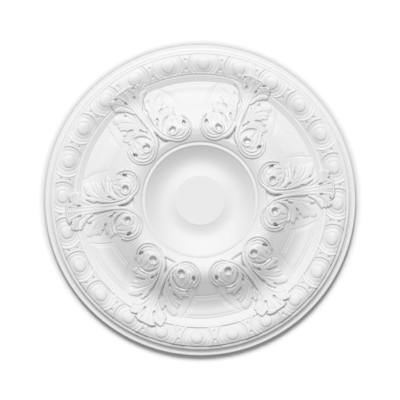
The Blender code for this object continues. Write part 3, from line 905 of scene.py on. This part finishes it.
def makePalmetteMesh():
    # Grid cells inside the folds are kept, and walls go down from their edge into the blank
    step = p["grain"] / p["part"]
    xs = np.arange(*p["gridAcross"], step)
    ys = np.arange(*p["gridUp"], step)
    y, x = np.meshgrid(ys, xs, indexing="ij")
    drawnX, drawnY = x * p["part"], p["footRadius"] + y * p["part"]
    radius = np.hypot(drawnX, drawnY)
    gridX, gridY = palmettePlace(radius, np.degrees(np.arctan2(-drawnX, drawnY)))
    surface = carvedPalmette(gridX, gridY, radius)
    ground = groundHeight(radius)
    inside = coverOf(gridX, gridY) < 0
    over = inside | (surface > ground - p["joinDepth"])
    surface = np.where(inside, surface, np.maximum(surface, ground - p["skirtDepth"]))
    cells = over[:-1, :-1] | over[1:, :-1] | over[:-1, 1:] | over[1:, 1:]
    rows, columns = x.shape
    i, j = np.nonzero(cells)
    here, above = i * columns + j, (i + 1) * columns + j
    used, faces = np.unique(np.stack([here, above, above + 1, here + 1], -1), return_inverse=True)
    points = placed(drawnX.ravel()[used], drawnY.ravel()[used], surface.ravel()[used])
    mesh = meshFrom("palmetteUnit", points, faces.reshape(-1, 4))
    closeBelow(mesh)
    return mesh


def makePalmettes():
    # Two opposite palmettes to a piece
    pieces = []
    unitMesh = makePalmetteMesh()
    print("palmette triangles", triangleCount(unitMesh))
    for i in range(p["count"] // 2):
        turn = p["turn"] - 90 + i * 360 / p["count"]
        pieces.append(repeatAround(f"palmettePair{i + 1}", unitMesh.copy(), 2, turn, 180))
    return pieces


casting = [makeBlank()]
print("blank turned")
casting.append(makeBorder())
print("border carved")
casting.append(makeField())
print("field carved")
casting += makePalmettes()
print("palmettes carved")

for piece in casting:
    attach(piece, "root")
    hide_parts("ceiling_rose")
    print(piece.name, triangleCount(piece.data))


# Ceiling board round the rose, seen from below only, with a painted shadow ring just outside the rim, and a
# pale floor far below
room = {
    "boardHalf": 4.0,
    "boardBehind": 0.005,
    "boardShade": 0.92,
    "boardSteps": 128,
    "boardStart": 0.985,
    # Painted shadow on the board: how dark it is at the rim, how far out it reaches and how it fades
    "paintedShadowDepth": 0.42,
    "paintedShadowWidth": 0.022,
    "paintedShadowCurve": 2.0,
    "floorDepth": -16.0,
    "floorHalf": 30.0,
    "floorShade": (0.8, 0.8, 0.8, 1),
}


def boardMaterial():
    # White paint with a painted shadow: darker just outside the rim, standing in for the rose's soft shadow
    # there
    material = bpy.data.materials.new("ceilingBoard")
    material.use_nodes = True
    tree = material.node_tree
    tree.nodes.clear()
    place = addNode(tree, "ShaderNodeTexCoord").outputs["Object"]
    away = addNode(tree, "ShaderNodeVectorMath", {"operation": "LENGTH"}, {0: place})
    near = addNode(tree, "ShaderNodeMapRange", None, {
        "Value": away.outputs["Value"], "From Min": drawnRadius * unit, "To Min": 1.0, "To Max": 0.0,
        "From Max": drawnRadius * unit + room["paintedShadowWidth"]})
    # Painted shadow: the board's colour is darkest at the rim and lightens outwards
    paintedShadowRing = Maths(tree, near.outputs[0]).power(room["paintedShadowCurve"]) * room["paintedShadowDepth"]
    paint = addNode(tree, "ShaderNodeBsdfDiffuse", None, {"Color": (1 - paintedShadowRing) * room["boardShade"]})
    clear = addNode(tree, "ShaderNodeBsdfTransparent")
    side = addNode(tree, "ShaderNodeNewGeometry")
    mixed = addNode(tree, "ShaderNodeMixShader", None, {
        0: side.outputs["Backfacing"], 1: paint.outputs[0], 2: clear.outputs[0]})
    addNode(tree, "ShaderNodeOutputMaterial", None, {"Surface": mixed.outputs[0]})
    return material


def makeStage():
    steps = room["boardSteps"]
    turns = np.linspace(0, 2 * math.pi, steps, endpoint=False)
    ring = []
    for radius in (drawnRadius * unit * room["boardStart"], room["boardHalf"]):
        ring += [(radius * math.cos(t), radius * math.sin(t), room["boardBehind"]) for t in turns]
    faces = [(i, (i + 1) % steps, steps + (i + 1) % steps, steps + i) for i in range(steps)]
    mesh = bpy.data.meshes.new("ceilingBoard")
    mesh.from_pydata(ring, [], faces)
    board = pieceFrom("ceilingBoard", mesh)
    mesh.materials.append(boardMaterial())
    half, low = room["floorHalf"], room["floorDepth"]
    corners = [(-half, -half, low), (half, -half, low), (half, half, low), (-half, half, low)]
    mesh = bpy.data.meshes.new("floor")
    mesh.from_pydata(corners, [], [(0, 1, 2, 3)])
    floor = pieceFrom("floor", mesh)
    floorPaint = bpy.data.materials.new("floorPaint")
    floorPaint.use_nodes = True
    floorPaint.node_tree.nodes["Principled BSDF"].inputs["Base Color"].default_value = room["floorShade"]
    mesh.materials.append(floorPaint)


# Soft studio light from the top of the picture, a little to its left, and even light all round
lighting = {
    "keyPlace": (-0.8, -7.0, -12.2),
    "keySize": 5.0,
    "keyPower": 1690.0,
    "skyShade": (1, 1, 1, 1),
    "skyStrength": 0.475,
}


def makeLight():
    lamp = bpy.data.lights.new("key", "AREA")
    lamp.size = lighting["keySize"]
    lamp.energy = lighting["keyPower"]
    holder = bpy.data.objects.new("key", lamp)
    bpy.context.scene.collection.objects.link(holder)
    holder.location = lighting["keyPlace"]
    direction = -holder.location
    holder.rotation_euler = direction.to_track_quat("-Z", "Y").to_euler()
    world = bpy.data.worlds.new("sky")
    world.use_nodes = True
    world.node_tree.nodes["Background"].inputs["Color"].default_value = lighting["skyShade"]
    world.node_tree.nodes["Background"].inputs["Strength"].default_value = lighting["skyStrength"]
    bpy.context.scene.world = world


# The camera looks straight up at the rose from below, with drawn y at the top of the picture
cameraSetup = {
    "distance": 14.0,
    "pictureHalf": 200.0,
    "roseRadiusPixels": 155.1,
    "rosePixel": (200.2, 200.2),
    "sensor": 36.0,
}


def makeCamera():
    c = cameraSetup
    pixel = drawnRadius * unit / c["roseRadiusPixels"]
    halfWidth = c["pictureHalf"] * pixel
    camera = bpy.data.cameras.new("camera")
    camera.sensor_width = c["sensor"]
    camera.lens = c["sensor"] / 2 * c["distance"] / halfWidth
    holder = bpy.data.objects.new("camera", camera)
    bpy.context.scene.collection.objects.link(holder)
    offX = (c["pictureHalf"] - c["rosePixel"][0]) * pixel
    offY = (c["pictureHalf"] - c["rosePixel"][1]) * pixel
    holder.location = (offX, offY, -c["distance"])
    holder.rotation_euler = (math.pi, 0, 0)
    bpy.context.scene.camera = holder


makeStage()
makeLight()
makeCamera()
bpy.context.scene.view_settings.view_transform = "Standard"
bpy.context.scene.view_settings.look = "None"
print("stage, light and camera set")
